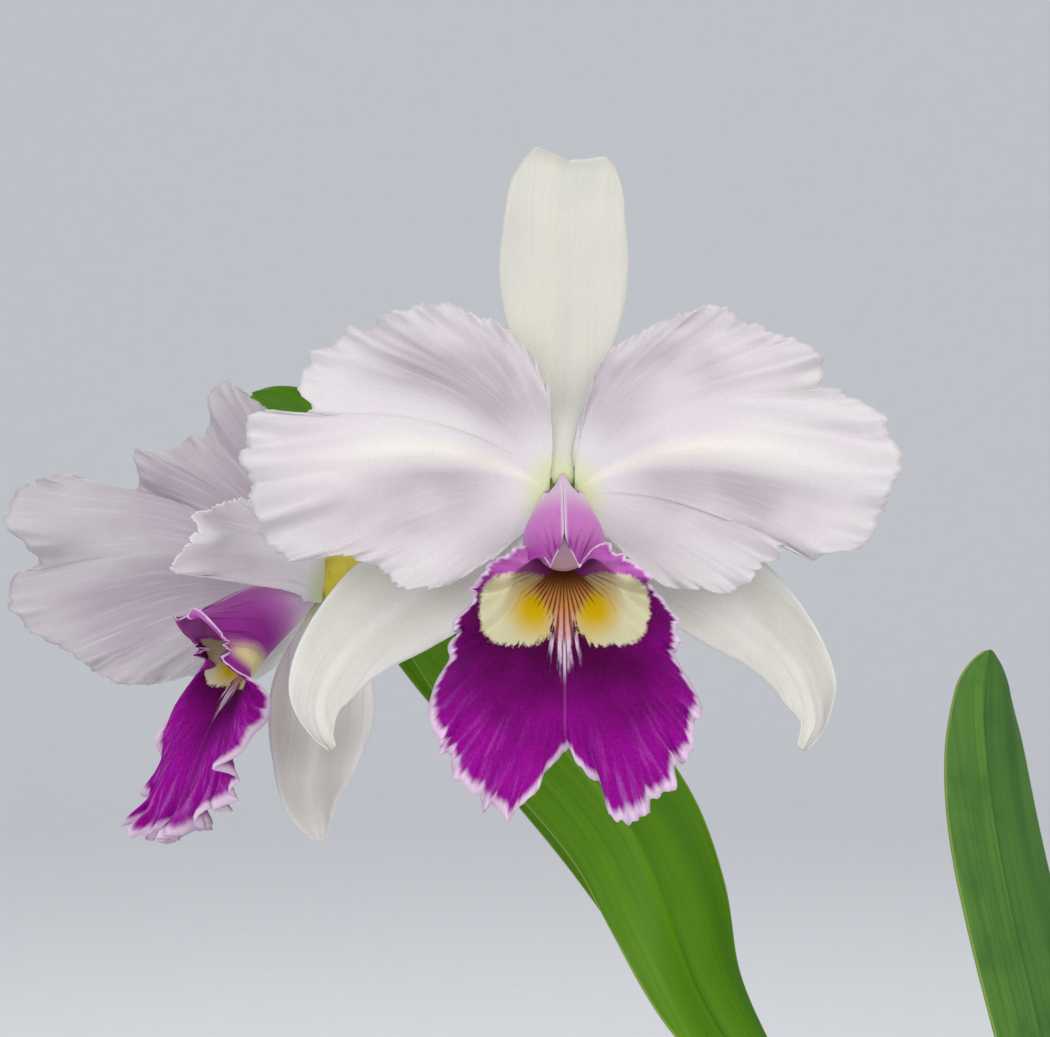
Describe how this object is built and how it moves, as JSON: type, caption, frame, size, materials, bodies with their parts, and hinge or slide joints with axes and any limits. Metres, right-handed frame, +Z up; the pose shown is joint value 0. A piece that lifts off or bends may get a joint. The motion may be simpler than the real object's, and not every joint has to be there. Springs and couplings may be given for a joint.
{
  "type": "potted cattleya orchid",
  "caption": "Potted orchid in flower: broad waved white petals round a purple lip, leathery leaves on ribbed stem bulbs, in a plain clay pot of bark.",
  "frame": {"origin": "middle of the pot's underside, on the surface that it stands on", "axes": "+Z up; -Y the way the larger bloom faces, so that it looks at a viewer in front; +X to that viewer's right"},
  "size_m": [0.3517, 0.2364, 0.516],
  "materials": {
    "petals": "satin",
    "lips": "matte",
    "columns": "satin",
    "leaves": "satin",
    "sheath": "matte",
    "stem": "satin",
    "pseudobulbs": "satin",
    "husks": "matte",
    "roots": "matte",
    "bark": "matte",
    "pot": "matte"
  },
  "bodies": {
    "root": {"pot": "pot", "bark": "bark", "rhizome_and_roots": "roots", "new_shoot": "leaves", "flower_sheath": "sheath", "flower_stem": "stem", "pseudobulb_1": "pseudobulbs", "husk_1": "husks", "leaf_1": "leaves", "pseudobulb_2": "pseudobulbs", "husk_2": "husks", "leaf_2": "leaves", "pseudobulb_3": "pseudobulbs", "husk_3": "husks", "leaf_3": "leaves", "pseudobulb_4": "pseudobulbs", "husk_4": "husks", "leaf_4": "leaves", "pseudobulb_5": "pseudobulbs", "husk_5": "husks", "leaf_5": "leaves", "bloom_a_dorsal_sepal": "petals", "bloom_a_lateral_sepal_left": "petals", "bloom_a_lateral_sepal_right": "petals", "bloom_a_petal_left": "petals", "bloom_a_petal_right": "petals", "bloom_a_lip": "lips", "bloom_a_column": "columns", "bloom_b_dorsal_sepal": "petals", "bloom_b_lateral_sepal_left": "petals", "bloom_b_lateral_sepal_right": "petals", "bloom_b_petal_left": "petals", "bloom_b_petal_right": "petals", "bloom_b_lip": "lips", "bloom_b_column": "columns"}
  },
  "joints": []
}
